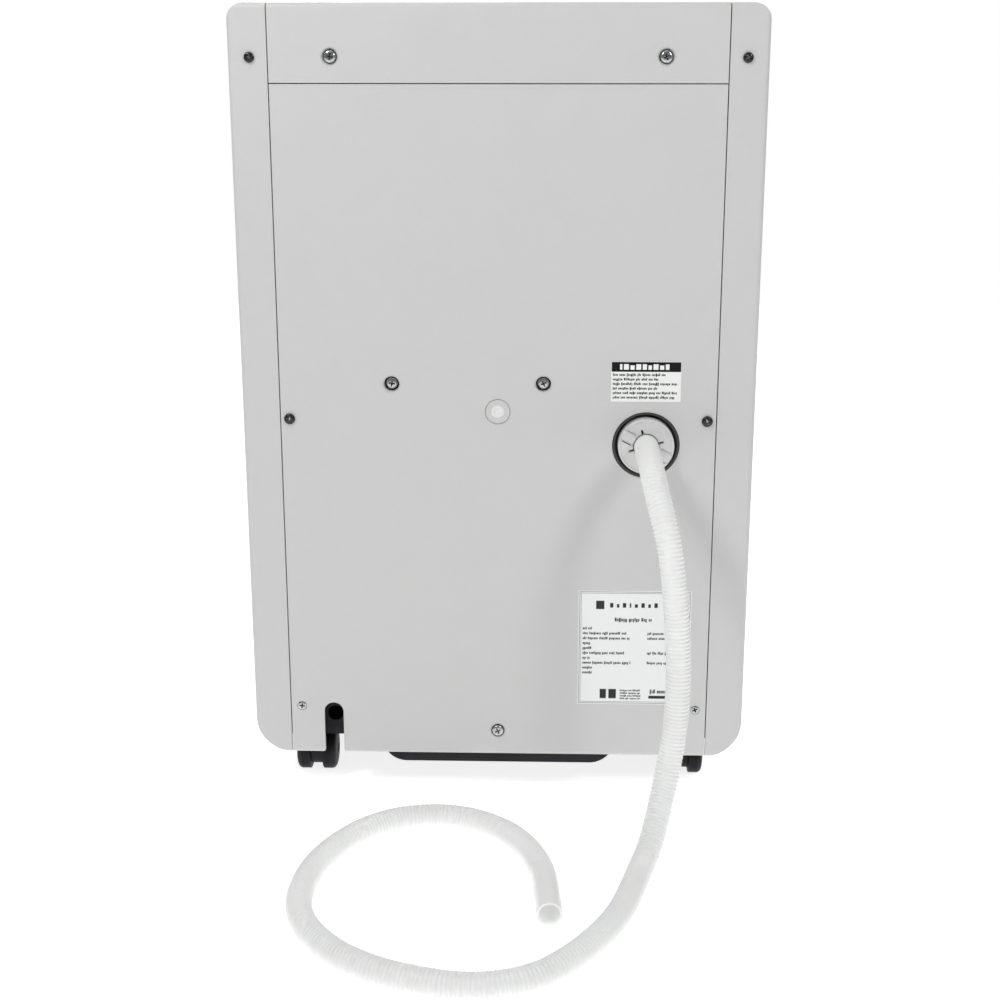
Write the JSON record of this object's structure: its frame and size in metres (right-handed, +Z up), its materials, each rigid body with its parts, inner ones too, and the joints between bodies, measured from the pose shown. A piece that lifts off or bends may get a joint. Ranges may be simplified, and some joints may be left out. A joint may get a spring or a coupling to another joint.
{
  "type": "dehumidifier",
  "caption": "Upright room dehumidifier on casters with a pull-out water bucket, top louvres and a rear drain outlet with its hose.",
  "frame": {"origin": "on the floor, under the middle of the cabinet", "axes": "+Z up, the front faces -Y, the rear panel with its drain outlet faces +Y"},
  "size_m": [0.392, 0.5936, 0.616],
  "materials": {
    "shell_plastic": "satin moulded, very light warm grey",
    "trim_plastic": "satin moulded, light grey",
    "black_plastic": "matt moulded black",
    "caster_plastic": "ribbed black nylon",
    "console_plastic": "gloss charcoal",
    "window_plastic": "smoked, polished",
    "button_plastic": "satin light grey",
    "circuit_board": "green lacquer",
    "filter_mesh": "woven dark mesh in a frame",
    "bucket_plastic": "smoke grey, slightly clear",
    "lid_plastic": "satin mid grey",
    "float_foam": "closed-cell foam",
    "zinc_steel": "zinc-plated sheet",
    "black_enamel": "gloss black enamel",
    "rubber": "matt",
    "fin_aluminium": "bright fins",
    "copper_pipe": "bare copper tube",
    "motor_paint": "grey enamel",
    "fan_plastic": "natural polypropylene",
    "tray_plastic": "dark grey",
    "can_aluminium": "drawn can",
    "port_plastic": "dark grey",
    "spigot_plastic": "mid grey",
    "cap_plastic": "light grey",
    "hose_plastic": "milky white, slightly clear, ribbed",
    "label_vinyl": "printed white vinyl",
    "rating_vinyl": "printed silver-grey vinyl",
    "screw_steel": "zinc-plated",
    "screw_dark": "black oxide"
  },
  "bodies": {
    "cabinet": {"rear_panel": "shell_plastic", "left_side_panel": "shell_plastic", "right_side_panel": "shell_plastic", "top_cover": "shell_plastic", "front_cover": "shell_plastic", "intake_grille": "trim_plastic", "outlet_grille": "trim_plastic", "base_pan": "black_plastic", "chassis": "zinc_steel", "control_panel": "console_plastic", "display_window": "window_plastic", "display_board": "circuit_board", "bucket_switch": "black_plastic", "compressor": "black_enamel", "compressor_feet": "rubber", "accumulator": "black_enamel", "evaporator": "fin_aluminium", "condenser": "fin_aluminium", "discharge_pipe": "copper_pipe", "suction_pipe": "copper_pipe", "capillary_tube": "copper_pipe", "fan_housing": "fan_plastic", "fan_motor": "motor_paint", "drip_tray": "tray_plastic", "control_box": "zinc_steel", "control_board": "circuit_board", "run_capacitor": "can_aluminium", "drain_port": "port_plastic", "drain_spigot": "spigot_plastic", "cap_seal": "rubber", "drain_hose": "hose_plastic", "instruction_label": "label_vinyl", "rating_label": "rating_vinyl", "panel_screws": "screw_steel", "strip_screws": "screw_dark", "edge_screws": "screw_dark", "lower_screws": "screw_steel"},
    "air_filter": {"air_filter": "filter_mesh"},
    "bucket": {"bucket_tub": "bucket_plastic", "bucket_front": "shell_plastic", "bucket_window": "window_plastic", "bucket_lid": "lid_plastic"},
    "bail": {"bucket_handle": "black_plastic"},
    "float": {"float_lever": "float_foam"},
    "blower": {"blower_wheel": "fan_plastic"},
    "cap": {"drain_cap": "cap_plastic"},
    "power_button": {"power_button": "button_plastic"},
    "mode_button": {"mode_button": "button_plastic"},
    "fan_button": {"fan_button": "button_plastic"},
    "timer_button": {"timer_button": "button_plastic"},
    "down_button": {"down_button": "button_plastic"},
    "up_button": {"up_button": "button_plastic"},
    "front_left_swivel": {"front_left_caster": "caster_plastic"},
    "front_left_roller": {"front_left_wheels": "caster_plastic"},
    "front_right_swivel": {"front_right_caster": "caster_plastic"},
    "front_right_roller": {"front_right_wheels": "caster_plastic"},
    "rear_left_swivel": {"rear_left_caster": "caster_plastic"},
    "rear_left_roller": {"rear_left_wheels": "caster_plastic"},
    "rear_right_swivel": {"rear_right_caster": "caster_plastic"},
    "rear_right_roller": {"rear_right_wheels": "caster_plastic"}
  },
  "joints": [
    {"name": "bucket_slide", "type": "slide", "parent": "cabinet", "child": "bucket", "axis": [0, -1, 0], "range_m": [0, 0.2]},
    {"name": "bail_hinge", "type": "hinge", "parent": "bucket", "child": "bail", "pos_m": [0, -0.077, 0.23], "axis": [1, 0, 0], "range_deg": [0, 90]},
    {"name": "float_hinge", "type": "hinge", "parent": "bucket", "child": "float", "pos_m": [0.118, -0.026, 0.214], "axis": [-1, 0, 0], "range_deg": [0, 10]},
    {"name": "filter_slide", "type": "slide", "parent": "cabinet", "child": "air_filter", "axis": [1, 0, 0], "range_m": [0, 0.345]},
    {"name": "blower_spin", "type": "hinge", "parent": "cabinet", "child": "blower", "pos_m": [0, 0, 0.44], "axis": [0, 1, 0], "continuous": true},
    {"name": "cap_turn", "type": "hinge", "parent": "cabinet", "child": "cap", "pos_m": [-0.1135, 0.137, 0.291], "axis": [0, 1, 0], "range_deg": [0, 90]},
    {"name": "power_button_press", "type": "slide", "parent": "cabinet", "child": "power_button", "axis": [0, 0, -1], "range_m": [0, 0.001], "stiffness_N_per_m": 300},
    {"name": "mode_button_press", "type": "slide", "parent": "cabinet", "child": "mode_button", "axis": [0, 0, -1], "range_m": [0, 0.001], "stiffness_N_per_m": 300},
    {"name": "fan_button_press", "type": "slide", "parent": "cabinet", "child": "fan_button", "axis": [0, 0, -1], "range_m": [0, 0.001], "stiffness_N_per_m": 300},
    {"name": "timer_button_press", "type": "slide", "parent": "cabinet", "child": "timer_button", "axis": [0, 0, -1], "range_m": [0, 0.001], "stiffness_N_per_m": 300},
    {"name": "down_button_press", "type": "slide", "parent": "cabinet", "child": "down_button", "axis": [0, 0, -1], "range_m": [0, 0.001], "stiffness_N_per_m": 300},
    {"name": "up_button_press", "type": "slide", "parent": "cabinet", "child": "up_button", "axis": [0, 0, -1], "range_m": [0, 0.001], "stiffness_N_per_m": 300},
    {"name": "front_left_swivel_turn", "type": "hinge", "parent": "cabinet", "child": "front_left_swivel", "pos_m": [-0.152, -0.097, 0.045], "axis": [0, 0, 1], "continuous": true},
    {"name": "front_left_roll", "type": "hinge", "parent": "front_left_swivel", "child": "front_left_roller", "pos_m": [-0.152, -0.085, 0.0175], "axis": [1, 0, 0], "continuous": true},
    {"name": "front_right_swivel_turn", "type": "hinge", "parent": "cabinet", "child": "front_right_swivel", "pos_m": [0.152, -0.097, 0.045], "axis": [0, 0, 1], "continuous": true},
    {"name": "front_right_roll", "type": "hinge", "parent": "front_right_swivel", "child": "front_right_roller", "pos_m": [0.152, -0.085, 0.0175], "axis": [1, 0, 0], "continuous": true},
    {"name": "rear_left_swivel_turn", "type": "hinge", "parent": "cabinet", "child": "rear_left_swivel", "pos_m": [-0.152, 0.083, 0.045], "axis": [0, 0, 1], "continuous": true},
    {"name": "rear_left_roll", "type": "hinge", "parent": "rear_left_swivel", "child": "rear_left_roller", "pos_m": [-0.152, 0.095, 0.0175], "axis": [1, 0, 0], "continuous": true},
    {"name": "rear_right_swivel_turn", "type": "hinge", "parent": "cabinet", "child": "rear_right_swivel", "pos_m": [0.152, 0.083, 0.045], "axis": [0, 0, 1], "continuous": true},
    {"name": "rear_right_roll", "type": "hinge", "parent": "rear_right_swivel", "child": "rear_right_roller", "pos_m": [0.152, 0.095, 0.0175], "axis": [1, 0, 0], "continuous": true}
  ]
}
